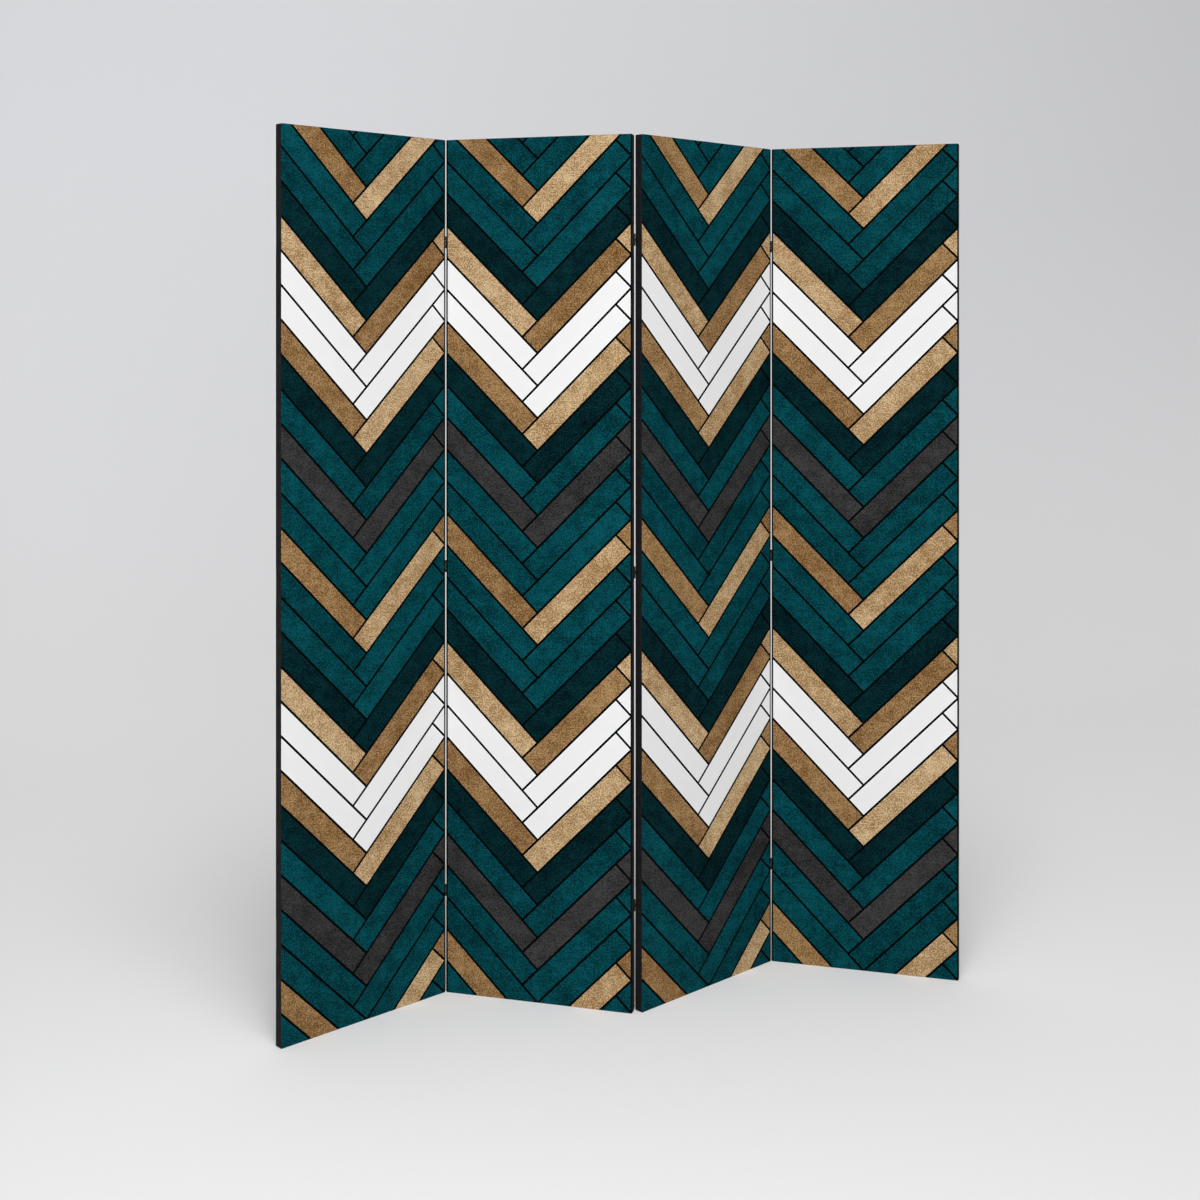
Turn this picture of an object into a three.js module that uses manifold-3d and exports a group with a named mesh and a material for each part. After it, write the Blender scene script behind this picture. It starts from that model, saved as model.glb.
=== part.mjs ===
// Four-panel folding screen: canvas stretched over light wooden frames, joined edge to edge by
// small butt hinges, standing in a zigzag. Millimetres, +Z up, the fronts towards -Y.
// The origin is on the floor, in the middle of the standing screen.

import * as THREE from 'three';
import { mergeVertices } from 'three/addons/utils/BufferGeometryUtils.js';
import Module from 'manifold-3d';

// ---------------------------------------------------------------- driving dimensions

const PANEL_WIDTH = 360;
const PANEL_HEIGHT = 1600;

// The zigzag: each seam is folded this far from flat, alternately back and forward.
const FOLD_DEGREES = 60;

// Wooden frame
const FRAME_THICKNESS = 15;
const STILE_WIDTH = 30;
const RAIL_WIDTH = 30;
const INNER_RAILS = 2;
const TENON_THICKNESS = 5;
const TENON_WIDTH = 20;
const TENON_LENGTH = 12;

// Canvas
const CANVAS_THICKNESS = 0.4;
const HEM_WIDTH = 25;
const BACK_CANVAS_INSET = 4;

// Butt hinges, three to a seam
const HINGE_HEIGHT = 22;
const HINGE_INSET = 192;
const LEAF_WIDTH = 13;
const LEAF_THICKNESS = 0.5;
const PIN_RADIUS = 0.5;
const PIN_PROUD = 0.4;
const PIN_HEAD_RADIUS = 0.9;
const PIN_HEAD_HEIGHT = 0.4;

// Wood screws through the leaves
const SCREW_SPACING = 12;
const SCREW_RADIUS = 1.25;
const SCREW_LENGTH = 12;
const SCREW_POINT_LENGTH = 2.5;
const HEAD_RADIUS = 2.2;
const HEAD_TOP_RADIUS = 1.5;
const HEAD_HEIGHT = 0.4;
const CROSS_LENGTH = 2.2;
const CROSS_WIDTH = 0.5;
const CROSS_DEPTH = 0.25;

// Clearances
const SEAT_GAP = 0.25;
const PIN_CLEARANCE = 0.15;
const KNUCKLE_CLEARANCE = 0.15;
const KNUCKLE_END_GAP = 0.3;
const HEAD_CLEARANCE = 0.3;

// Sides of the round pieces
const KNUCKLE_SIDES = 16;
const PIN_SIDES = 10;
const SCREW_SIDES = 8;

// ---------------------------------------------------------------- sizes that follow from them

// From front to back: canvas, frame, turned-in hem, back canvas, each with its seat gap.
const CANVAS_LAYER = CANVAS_THICKNESS + SEAT_GAP;
const WRAP_DEPTH = FRAME_THICKNESS + 2 * CANVAS_LAYER;
const PANEL_THICKNESS = WRAP_DEPTH + CANVAS_LAYER;

const FRAME_WIDTH = PANEL_WIDTH - 2 * CANVAS_LAYER;
const FRAME_HEIGHT = PANEL_HEIGHT - 2 * CANVAS_LAYER;
const FRAME_MIDDLE_Y = CANVAS_LAYER + FRAME_THICKNESS / 2;

// The leaves' own sheet is curled round the pin to make the knuckles.
const BORE_RADIUS = PIN_RADIUS + PIN_CLEARANCE;
const KNUCKLE_RADIUS = BORE_RADIUS + LEAF_THICKNESS;

// A closed seam is as wide as its knuckles need, or its two leaves with their screw heads.
const HALF_SEAM = Math.max(
  KNUCKLE_RADIUS + KNUCKLE_CLEARANCE,
  SEAT_GAP + LEAF_THICKNESS + HEAD_HEIGHT + HEAD_CLEARANCE / 2,
);
const LEAF_OUTER = HALF_SEAM - SEAT_GAP;
const LEAF_INNER = LEAF_OUTER - LEAF_THICKNESS;
const LEAF_START = KNUCKLE_RADIUS + KNUCKLE_CLEARANCE;
const SCREW_FROM_PIN = (LEAF_START + LEAF_WIDTH) / 2;
const KNUCKLE_HEIGHT = (HINGE_HEIGHT - 2 * KNUCKLE_END_GAP) / 3;
const HINGE_HEIGHTS = {
  bottom: HINGE_INSET,
  middle: PANEL_HEIGHT / 2,
  top: PANEL_HEIGHT - HINGE_INSET,
};

const HOLE_RADIUS = SCREW_RADIUS + SEAT_GAP;

// ---------------------------------------------------------------- materials

const printedCanvas = new THREE.MeshStandardMaterial({ color: 0x04444c, roughness: 0.85, metalness: 0 });
const pine = new THREE.MeshStandardMaterial({ color: 0xcfae7c, roughness: 0.75, metalness: 0 });
const blackSteel = new THREE.MeshStandardMaterial({ color: 0x26241f, roughness: 0.45, metalness: 0.8 });
const bareSteel = new THREE.MeshStandardMaterial({ color: 0x4a4844, roughness: 0.35, metalness: 1 });

// ---------------------------------------------------------------- solids

const wasm = await Module();
wasm.setup();

/** A closed three.js geometry as a solid that can be joined and cut. */
function solid(geometry) {
  geometry.deleteAttribute('normal');
  geometry.deleteAttribute('uv');
  const welded = mergeVertices(geometry);
  return new wasm.Manifold(new wasm.Mesh({
    numProp: 3,
    vertProperties: welded.attributes.position.array,
    triVerts: Uint32Array.from(welded.index.array),
  }));
}

/** A block between two opposite corners. */
function block(from, to) {
  const low = new THREE.Vector3(...from);
  const size = new THREE.Vector3(...to).sub(low);
  const box = new THREE.BoxGeometry(size.x, size.y, size.z);
  box.translate(low.x + size.x / 2, low.y + size.y / 2, low.z + size.z / 2);
  return solid(box);
}

/** A turned piece about Z from an outline of [radius, height] points, from the axis back to it. */
function turned(outline, sides) {
  const points = outline.map(([radius, height]) => new THREE.Vector2(radius, height));
  return solid(new THREE.LatheGeometry(points, sides).rotateX(Math.PI / 2));
}

/** A plain rod about Z between two heights. */
function rod(radius, low, high, sides) {
  return turned([[0, low], [radius, low], [radius, high], [0, high]], sides);
}

/** A named mesh of a solid. */
function mesh(name, body, material) {
  const { vertProperties, triVerts } = body.getMesh();
  const geometry = new THREE.BufferGeometry();
  geometry.setAttribute('position', new THREE.BufferAttribute(vertProperties, 3));
  geometry.setIndex(new THREE.BufferAttribute(triVerts, 1));
  geometry.computeVertexNormals();
  const piece = new THREE.Mesh(geometry, material);
  piece.name = name;
  return piece;
}

// ---------------------------------------------------------------- hinges

/** The heights of the two screws of every leaf on a seam, from the floor. */
function screwHeights() {
  return Object.values(HINGE_HEIGHTS).flatMap((height) => [
    height - SCREW_SPACING / 2,
    height + SCREW_SPACING / 2,
  ]);
}

/**
 * A pointed wood screw that lies along +X with the underside of its head on the leaf's inner face.
 * Its low, cone-sided head has a cross recess.
 */
function screw(height) {
  const body = turned([
    [0, -HEAD_HEIGHT],
    [HEAD_TOP_RADIUS, -HEAD_HEIGHT],
    [HEAD_RADIUS, 0],
    [SCREW_RADIUS, 0],
    [SCREW_RADIUS, SCREW_LENGTH - SCREW_POINT_LENGTH],
    [0, SCREW_LENGTH],
  ], SCREW_SIDES);
  const arm = [CROSS_LENGTH / 2, CROSS_WIDTH / 2];
  const cross = [arm, arm.toReversed()].map(([x, y]) => (
    block([-x, -y, -HEAD_HEIGHT - CROSS_DEPTH], [x, y, -HEAD_HEIGHT + CROSS_DEPTH])
  ));
  return cross
    .reduce((rest, slot) => rest.subtract(slot), body)
    .rotate([0, 90, 0])
    .translate([LEAF_INNER, SCREW_FROM_PIN, height]);
}

/**
 * A hinge leaf with its screws, about the pin's axis at the hinge's mid-height. The leaf lies on the
 * +X side and runs along +Y. It carries the knuckles between the given heights.
 */
function leaf(knuckles) {
  const half = HINGE_HEIGHT / 2;
  let body = block([LEAF_INNER, LEAF_START, -half], [LEAF_OUTER, LEAF_WIDTH, half]);
  for (const [low, high] of knuckles) {
    body = body
      .add(block([LEAF_INNER, 0, low], [LEAF_OUTER, LEAF_START + SEAT_GAP, high]))
      .add(rod(KNUCKLE_RADIUS, low, high, KNUCKLE_SIDES));
  }
  body = body.subtract(rod(BORE_RADIUS, -HINGE_HEIGHT, HINGE_HEIGHT, KNUCKLE_SIDES));
  for (const side of [-1, 1]) {
    body = body.add(screw(side * SCREW_SPACING / 2));
  }
  return body;
}

/** The leaf with the two outer knuckles. */
function outerLeaf() {
  const half = HINGE_HEIGHT / 2;
  return leaf([[-half, KNUCKLE_HEIGHT - half], [half - KNUCKLE_HEIGHT, half]]);
}

/** The leaf with the middle knuckle. */
function middleLeaf() {
  return leaf([[-KNUCKLE_HEIGHT / 2, KNUCKLE_HEIGHT / 2]]);
}

/** The hinge pin, with a riveted head just clear of each end of the knuckles. */
function pin() {
  const seat = HINGE_HEIGHT / 2 + PIN_CLEARANCE;
  const end = seat + PIN_HEAD_HEIGHT;
  return turned([
    [0, -end],
    [PIN_HEAD_RADIUS, -end],
    [PIN_HEAD_RADIUS, -seat],
    [PIN_RADIUS, -seat],
    [PIN_RADIUS, seat],
    [PIN_HEAD_RADIUS, seat],
    [PIN_HEAD_RADIUS, end],
    [0, end],
  ], PIN_SIDES);
}

/**
 * Where a seam's pin is in a panel's own frame. side is -1 for the panel's left edge and 1 for its
 * right, and face is -1 for a pin on the front and 1 for a pin on the back.
 */
function pinPlace(side, face) {
  const y = face < 0 ? -PIN_PROUD : PANEL_THICKNESS + PIN_PROUD;
  return new THREE.Vector3(side * (PANEL_WIDTH / 2 + HALF_SEAM), y, 0);
}

/** The turn that lays a leaf on a panel's edge, from where it lies on +X and along +Y. */
function leafTurn(side, face) {
  if (side < 0) {
    return face < 0 ? new THREE.Euler(0, 0, 0) : new THREE.Euler(Math.PI, 0, 0);
  }
  return face < 0 ? new THREE.Euler(0, Math.PI, 0) : new THREE.Euler(0, 0, Math.PI);
}

/** The half of a seam's three hinges that is fixed to one panel. */
function hingeHalf(panel, seam, side, face) {
  const turn = leafTurn(side, face);
  for (const [place, height] of Object.entries(HINGE_HEIGHTS)) {
    const name = `hinge_${seam}_${place}`;
    const pieces = side > 0
      ? [mesh(`${name}_leaf_1`, outerLeaf(), blackSteel), mesh(`${name}_pin`, pin(), bareSteel)]
      : [mesh(`${name}_leaf_2`, middleLeaf(), blackSteel)];
    for (const piece of pieces) {
      piece.position.copy(pinPlace(side, face)).setZ(height);
      piece.rotation.copy(turn);
      panel.add(piece);
    }
  }
}

/** Holes for the hinge screws of one edge, from the panel's outer face inwards, in its own frame. */
function screwHoles(side, face) {
  const towardsBack = -face;
  const y = pinPlace(side, face).y + towardsBack * SCREW_FROM_PIN;
  const depth = LEAF_INNER + SCREW_LENGTH + SEAT_GAP - HALF_SEAM;
  return screwHeights().map((height) => (
    rod(HOLE_RADIUS, -SEAT_GAP, depth, SCREW_SIDES)
      .rotate([0, -side * 90, 0])
      .translate([side * PANEL_WIDTH / 2, y, height])
  ));
}

// ---------------------------------------------------------------- panels

/** The heights of the rails' middles, from the bottom one to the top one. */
function railHeights() {
  const lowest = CANVAS_LAYER + RAIL_WIDTH / 2;
  const highest = PANEL_HEIGHT - lowest;
  const spaces = INNER_RAILS + 1;
  return Array.from({ length: spaces + 1 }, (_, i) => lowest + (highest - lowest) * i / spaces);
}

/** A rail's name, from its place among the others. */
function railName(index) {
  if (index === 0) {
    return 'rail_bottom';
  }
  if (index === INNER_RAILS + 1) {
    return 'rail_top';
  }
  return `rail_inner_${index}`;
}

/** A rail about its own middle, with a stub tenon at each end, seat gap clear of the stiles. */
function rail() {
  const shoulder = FRAME_WIDTH / 2 - STILE_WIDTH - SEAT_GAP;
  const tip = shoulder + SEAT_GAP + TENON_LENGTH;
  const body = block(
    [-shoulder, -FRAME_THICKNESS / 2, -RAIL_WIDTH / 2],
    [shoulder, FRAME_THICKNESS / 2, RAIL_WIDTH / 2],
  );
  return body.add(block(
    [-tip, -TENON_THICKNESS / 2, -TENON_WIDTH / 2],
    [tip, TENON_THICKNESS / 2, TENON_WIDTH / 2],
  ));
}

/** A stile in the panel's own frame, with a mortise for each rail and pilot holes for its hinges. */
function stile(side, holes) {
  const outer = side * FRAME_WIDTH / 2;
  const inner = outer - side * STILE_WIDTH;
  const mortiseEnd = inner + side * (TENON_LENGTH + SEAT_GAP);
  const mortiseStart = inner - side * SEAT_GAP;
  let body = block(
    [Math.min(outer, inner), CANVAS_LAYER, CANVAS_LAYER],
    [Math.max(outer, inner), CANVAS_LAYER + FRAME_THICKNESS, PANEL_HEIGHT - CANVAS_LAYER],
  );
  const halfThickness = TENON_THICKNESS / 2 + SEAT_GAP;
  const halfWidth = TENON_WIDTH / 2 + SEAT_GAP;
  for (const height of railHeights()) {
    body = body.subtract(block(
      [Math.min(mortiseStart, mortiseEnd), FRAME_MIDDLE_Y - halfThickness, height - halfWidth],
      [Math.max(mortiseStart, mortiseEnd), FRAME_MIDDLE_Y + halfThickness, height + halfWidth],
    ));
  }
  return holes.reduce((rest, hole) => rest.subtract(hole), body);
}

/** The front canvas: a face, a wrap round all four edges and a hem turned in on the back. */
function frontCanvas(holes) {
  const half = PANEL_WIDTH / 2;
  const inside = half - CANVAS_THICKNESS;
  const open = half - HEM_WIDTH;
  const wrap = block([-half, 0, 0], [half, WRAP_DEPTH, PANEL_HEIGHT]);
  const hollow = block(
    [-inside, CANVAS_THICKNESS, CANVAS_THICKNESS],
    [inside, WRAP_DEPTH - CANVAS_THICKNESS, PANEL_HEIGHT - CANVAS_THICKNESS],
  );
  const window = block(
    [-open, WRAP_DEPTH / 2, HEM_WIDTH],
    [open, WRAP_DEPTH + CANVAS_THICKNESS, PANEL_HEIGHT - HEM_WIDTH],
  );
  return holes.reduce((rest, hole) => rest.subtract(hole), wrap.subtract(hollow).subtract(window));
}

/** The back canvas: a flat sheet over the hem and the frame, a little smaller than the panel. */
function backCanvas() {
  const half = PANEL_WIDTH / 2 - BACK_CANVAS_INSET;
  return block(
    [-half, PANEL_THICKNESS - CANVAS_THICKNESS, BACK_CANVAS_INSET],
    [half, PANEL_THICKNESS, PANEL_HEIGHT - BACK_CANVAS_INSET],
  );
}

/**
 * One panel in its own frame: its width along X about the middle, its front face at Y = 0, its
 * bottom edge on the floor. seams gives, for each hinged edge, the seam's number and the pins' face.
 */
function panel(number, seams) {
  const group = new THREE.Group();
  const holesOn = (side) => (seams[side] ? screwHoles(side, seams[side].face) : []);
  const leftHoles = holesOn(-1);
  const rightHoles = holesOn(1);
  const prefix = `panel_${number}`;
  group.add(mesh(`${prefix}_stile_left`, stile(-1, leftHoles), pine));
  group.add(mesh(`${prefix}_stile_right`, stile(1, rightHoles), pine));
  railHeights().forEach((height, index) => {
    const cross = mesh(`${prefix}_${railName(index)}`, rail(), pine);
    cross.position.set(0, FRAME_MIDDLE_Y, height);
    group.add(cross);
  });
  group.add(mesh(`${prefix}_canvas_front`, frontCanvas([...leftHoles, ...rightHoles]), printedCanvas));
  group.add(mesh(`${prefix}_canvas_back`, backCanvas(), printedCanvas));
  for (const side of [-1, 1]) {
    if (seams[side]) {
      hingeHalf(group, seams[side].number, side, seams[side].face);
    }
  }
  return group;
}

// ---------------------------------------------------------------- the standing screen

const FRONT = -1;
const BACK = 1;
const fold = THREE.MathUtils.degToRad(FOLD_DEGREES);

// The outer seams have their pins in front and the middle seam behind, so the folds alternate.
const seam12 = { number: '12', face: FRONT };
const seam23 = { number: '23', face: BACK };
const seam34 = { number: '34', face: FRONT };
const panel1 = panel(1, { 1: seam12 });
const panel2 = panel(2, { [-1]: seam12, 1: seam23 });
const panel3 = panel(3, { [-1]: seam23, 1: seam34 });
const panel4 = panel(4, { [-1]: seam34 });

/** Hangs a panel on a neighbour's pin. The edge is the neighbour's, and the turn is about the pin. */
function hang(neighbour, child, edge, face, turn) {
  const pivot = new THREE.Group();
  pivot.position.copy(pinPlace(edge, face));
  pivot.rotation.z = turn;
  child.position.copy(pinPlace(-edge, face)).negate();
  pivot.add(child);
  neighbour.add(pivot);
}

hang(panel2, panel1, -1, FRONT, fold);
hang(panel2, panel3, 1, BACK, fold);
hang(panel3, panel4, 1, FRONT, -fold);

// The middle seam's pins stand on X = 0. Its pins and the outer seams' are as far before the middle
// of the depth as behind it, so half of that distance puts the middle of the screen on Y = 0.
const pinToPin = pinPlace(1, FRONT).sub(pinPlace(-1, BACK));
pinToPin.applyAxisAngle(new THREE.Vector3(0, 0, 1), fold / 2);

const screen = new THREE.Group();
const stand = new THREE.Group();
stand.position.set(0, -pinToPin.y / 2, 0);
stand.rotation.z = -fold / 2;
panel2.position.copy(pinPlace(1, BACK)).negate();
stand.add(panel2);
screen.add(stand);

export default screen;
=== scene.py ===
"""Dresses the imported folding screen: four canvas panels joined edge to edge by nine butt hinges.

Lengths are in metres. A panel is worked out in its own frame, with x along its width from the
middle, y from its front face to its back and z up from the floor, and is then turned into place.
A hinge is worked out about its pin, with its leaf on the +x side and running along +y.
"""

import logging
import math
from abc import ABC, abstractmethod
from collections.abc import Callable, Mapping, Sequence
from dataclasses import dataclass
from enum import Enum
from typing import Any, Union

import bpy
import numpy as np
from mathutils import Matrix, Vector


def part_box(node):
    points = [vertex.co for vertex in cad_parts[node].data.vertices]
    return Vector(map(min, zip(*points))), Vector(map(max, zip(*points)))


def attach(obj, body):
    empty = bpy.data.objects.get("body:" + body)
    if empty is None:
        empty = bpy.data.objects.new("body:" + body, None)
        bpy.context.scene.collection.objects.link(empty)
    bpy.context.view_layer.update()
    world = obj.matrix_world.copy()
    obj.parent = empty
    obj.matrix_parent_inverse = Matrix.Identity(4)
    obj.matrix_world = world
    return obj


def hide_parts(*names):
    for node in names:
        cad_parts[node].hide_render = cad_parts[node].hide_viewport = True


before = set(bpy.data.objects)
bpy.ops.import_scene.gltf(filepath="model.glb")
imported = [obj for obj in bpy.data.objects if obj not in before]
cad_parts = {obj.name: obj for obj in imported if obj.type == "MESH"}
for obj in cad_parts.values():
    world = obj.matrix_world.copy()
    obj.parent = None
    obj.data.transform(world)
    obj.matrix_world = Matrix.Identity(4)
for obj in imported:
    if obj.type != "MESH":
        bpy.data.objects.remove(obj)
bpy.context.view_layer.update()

LOG = logging.getLogger("screen")

MM = 0.001
FLAT_MAP = "cloth"
HINGE_PLACES = ("bottom", "middle", "top")
SMALLEST_GAP = 1e-7

Rgb = tuple[int, int, int]
Input = Union["Value", bpy.types.NodeSocket, float, Sequence[float]]
Inputs = Mapping[Union[str, int], Input]


# ------------------------------------------------------------------ shader kit


def linear(screen_colour: Rgb) -> tuple[float, float, float, float]:
    """A screen colour as the linear colour that a shader takes.

    A channel c of 0 to 1 becomes ((c + 0.055) / 1.055) to the power 2.4, or c / 12.92 near black.

    Args:
        screen_colour: red, green and blue from 0 to 255.

    Returns:
        Red, green, blue and a full alpha, from 0 to 1.
    """
    c = np.array(screen_colour) / 255
    bent = np.where(c <= 0.04045, c / 12.92, ((c + 0.055) / 1.055) ** 2.4)
    return (*bent.tolist(), 1.0)


@dataclass(frozen=True)
class Noise:
    """Soft random variation of 0 to 1.

    Attributes:
        scale: how many patches it has in a metre.
        detail: how many finer layers it has.
        roughness: how strong the finer layers are.
        share: how much of it is taken where several are added up.
    """

    scale: float
    detail: float
    roughness: float = 0.55
    share: float = 1.0


class NodeTree:
    """The nodes of one material, or of the world."""

    def __init__(self, owner: bpy.types.Material | bpy.types.World) -> None:
        """Empties the tree of a material or of the world, ready to be filled.

        Args:
            owner: the material or world whose nodes are made.
        """
        owner.use_nodes = True
        self.tree = owner.node_tree
        self.tree.nodes.clear()

    def node(
        self,
        kind: str,
        settings: Mapping[str, Any] | None = None,
        inputs: Inputs | None = None,
    ) -> bpy.types.Node:
        """Adds a node. Its settings are set first, and then its sockets' values or links.

        Args:
            kind: the node's type.
            settings: its properties by name. "stops" is a colour ramp's (place, colour) pairs,
                and "between" how the ramp runs from one to the next.
            inputs: its sockets by name or number, each with a value or what it is linked to.

        Returns:
            The new node.
        """
        made = self.tree.nodes.new(kind)
        for name, setting in (settings or {}).items():
            if name == "stops":
                for _ in setting[2:]:
                    made.color_ramp.elements.new(1.0)
                for element, (place, colour) in zip(made.color_ramp.elements, setting):
                    element.position, element.color = place, colour
            elif name == "between":
                made.color_ramp.interpolation = setting
            else:
                setattr(made, name, setting)
        for name, given in (inputs or {}).items():
            source = given.socket if isinstance(given, Value) else given
            if isinstance(source, bpy.types.NodeSocket):
                self.tree.links.new(source, made.inputs[name])
            else:
                made.inputs[name].default_value = source
        return made

    def value(self, socket: bpy.types.NodeSocket) -> "Value":
        """A socket as a number that Python's operators can join."""
        return Value(self, socket)

    def axes(self, vector: bpy.types.NodeSocket) -> list["Value"]:
        """A vector's x, y and z."""
        parts = self.node("ShaderNodeSeparateXYZ", inputs={"Vector": vector})
        return [self.value(part) for part in parts.outputs]

    def flat_place(self) -> list["Value"]:
        """Where a point is on the flat cloth, across and up, in metres."""
        return self.axes(self.node("ShaderNodeUVMap", {"uv_map": FLAT_MAP}).outputs["UV"])[:2]

    def point(self, x: Input, y: Input, z: Input = 0.0) -> bpy.types.NodeSocket:
        """A vector of three numbers."""
        return self.node("ShaderNodeCombineXYZ", inputs={"X": x, "Y": y, "Z": z}).outputs["Vector"]

    def object_place(
        self,
        stretch: Sequence[float] = (1.0, 1.0, 1.0),
        turn: Sequence[float] = (0.0, 0.0, 0.0),
    ) -> bpy.types.NodeSocket:
        """A point of the piece in metres, stretched along the axes and then turned.

        Args:
            stretch: what each axis is multiplied by.
            turn: the turn about each axis, in radians.

        Returns:
            The vector.
        """
        place = self.node("ShaderNodeTexCoord").outputs["Object"]
        inputs = {"Vector": place, "Scale": stretch, "Rotation": turn}
        return self.node("ShaderNodeMapping", inputs=inputs).outputs["Vector"]

    def seen_ray(self) -> "Value":
        """1 for a ray that shows the background: seen straight, in a gloss or through glass.

        Returns:
            1 for such a ray, and 0 for one that lights something.
        """
        rays = self.node("ShaderNodeLightPath").outputs
        mirrored = self.value(rays["Is Glossy Ray"]).most(rays["Is Transmission Ray"])
        return mirrored.most(rays["Is Camera Ray"])

    def noise(self, place: bpy.types.NodeSocket, kind: Noise) -> "Value":
        """A noise that follows a place.

        Args:
            place: the vector that it follows.
            kind: what it is like.

        Returns:
            The variation, from 0 to 1.
        """
        inputs = {"Scale": kind.scale, "Detail": kind.detail, "Roughness": kind.roughness}
        inputs["Vector"] = place
        made = self.node("ShaderNodeTexNoise", {"noise_dimensions": "3D"}, inputs)
        return self.value(made.outputs["Fac"])

    def clouded(
        self, usual: float, place: bpy.types.NodeSocket, clouds: Sequence[Noise]
    ) -> "Value":
        """A number that noises raise and lower, each by its share.

        Args:
            usual: the number where every noise is at a half.
            place: the vector that they follow.
            clouds: the noises.

        Returns:
            The number.
        """
        return sum(((self.noise(place, kind) - 0.5) * kind.share for kind in clouds), usual)

    def mix(self, share: Input, first: Input, second: Input) -> bpy.types.NodeSocket:
        """A colour that is first at share 0 and second at share 1."""
        made = self.node("ShaderNodeMix", {"data_type": "RGBA"}, {0: share, 6: first, 7: second})
        return made.outputs[2]

    def bump(
        self, height: "Value", depth: float, beneath: bpy.types.NodeSocket | None = None
    ) -> bpy.types.NodeSocket:
        """A normal from a height of 0 to 1 that stands for the given depth in metres.

        Args:
            height: the height.
            depth: how far apart its highest and lowest points are.
            beneath: the normal that it is laid over, if any.

        Returns:
            The normal.
        """
        inputs = {"Height": height, "Distance": depth}
        if beneath is not None:
            inputs["Normal"] = beneath
        return self.node("ShaderNodeBump", inputs=inputs).outputs["Normal"]


def maths(operation: str, swapped: bool = False) -> Callable[..., "Value"]:
    """A method of Value that joins its number and another with one Math node.

    Args:
        operation: what the node does.
        swapped: whether the other number comes first, as in an operator's reflected form.

    Returns:
        The method.
    """

    def joined(self: "Value", other: Input = 0.0) -> "Value":
        """Adds the node.

        Args:
            other: the other number, where the operation has one.

        Returns:
            The node's result.
        """
        first, second = (other, self) if swapped else (self, other)
        made = self.tree.node("ShaderNodeMath", {"operation": operation}, {0: first, 1: second})
        return Value(self.tree, made.outputs["Value"])

    return joined


class Value:
    """A number that varies over a surface, which Python's operators join into new ones."""

    __add__ = maths("ADD")
    __radd__ = maths("ADD", swapped=True)
    __sub__ = maths("SUBTRACT")
    __rsub__ = maths("SUBTRACT", swapped=True)
    __mul__ = maths("MULTIPLY")
    __rmul__ = maths("MULTIPLY", swapped=True)
    __truediv__ = maths("DIVIDE")
    __mod__ = maths("FLOORED_MODULO")
    __lt__ = maths("LESS_THAN")
    __abs__ = maths("ABSOLUTE")
    floor = maths("FLOOR")
    least = maths("MINIMUM")
    most = maths("MAXIMUM")
    sine = maths("SINE")

    def __init__(self, tree: NodeTree, socket: bpy.types.NodeSocket) -> None:
        """Wraps a tree's socket that gives a number."""
        self.tree = tree
        self.socket = socket

    def ripple(self, length: float) -> "Value":
        """A wave from 0 to 1 and back over the given length: half of 1 plus the sine."""
        return 0.5 * (2 * math.pi / length * self).sine() + 0.5

    def within(self, low: float, high: float) -> "Value":
        """0 below low, 1 above high, and a straight run between them.

        Args:
            low: the number that becomes 0.
            high: the number that becomes 1.

        Returns:
            The share, from 0 to 1.
        """
        inputs = {"Value": self, "From Min": low, "From Max": high}
        made = self.tree.node("ShaderNodeMapRange", {"clamp": True}, inputs)
        return Value(self.tree, made.outputs["Result"])


# ------------------------------------------------------------------ finishes


class Finish(ABC):
    """A surface finish. Its material is made once and is shared by the pieces that have it."""

    label: str

    @abstractmethod
    def looks(self, tree: NodeTree) -> Inputs:
        """Makes the finish's nodes.

        Args:
            tree: the tree that they are made in.

        Returns:
            What the shader's sockets take.
        """

    def material(self) -> bpy.types.Material:
        """The finish's material.

        Returns:
            The material, which is made when it is first asked for.
        """
        found = bpy.data.materials.get(self.label)
        if found is None:
            found = bpy.data.materials.new(self.label)
            tree = NodeTree(found)
            shader = tree.node("ShaderNodeBsdfPrincipled", inputs=self.looks(tree))
            tree.node("ShaderNodeOutputMaterial", inputs={"Surface": shader.outputs[0]})
        return found


@dataclass(frozen=True)
class Weave:
    """The plain weave of a canvas: threads that cross, and slubs, where a thread is thicker."""

    thread: float = 0.9 * MM
    thread_depth: float = 0.05 * MM
    slub: float = 3 * MM
    slub_length: float = 40 * MM
    slub_depth: float = 0.10 * MM
    slubs: Noise = Noise(1.0, 2.0)
    warp_level: float = 5.0

    def normal(self, tree: NodeTree, across: Value, up: Value) -> bpy.types.NodeSocket:
        """The weave's normal.

        The threads' height is the product of a wave across and a wave up. The slubs are noise
        that is drawn out along each of the two directions, at two levels of the noise.

        Args:
            tree: the tree that it is made in.
            across: the place across the flat cloth, in metres.
            up: the place up the flat cloth, in metres.

        Returns:
            The normal.
        """
        long, short = 1 / self.slub_length, 1 / self.slub
        weft = tree.noise(tree.point(across * long, up * short), self.slubs)
        warp = tree.noise(tree.point(across * short, up * long, self.warp_level), self.slubs)
        slubs = tree.bump(weft.most(warp), self.slub_depth)
        threads = across.ripple(self.thread) * up.ripple(self.thread)
        return tree.bump(threads, self.thread_depth, slubs)


class Ink(Enum):
    """The print's inks, each as its darkest and its lightest screen colour."""

    TEAL = ((0, 33, 39), (8, 89, 98))
    DEEP_TEAL = ((0, 14, 18), (6, 52, 57))
    CHARCOAL = ((32, 32, 32), (71, 71, 71))
    TAN = ((104, 70, 34), (184, 149, 104))
    LIGHT_TAN = ((141, 104, 60), (225, 197, 155))
    WHITE = ((241, 241, 241), (244, 244, 244))


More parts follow.
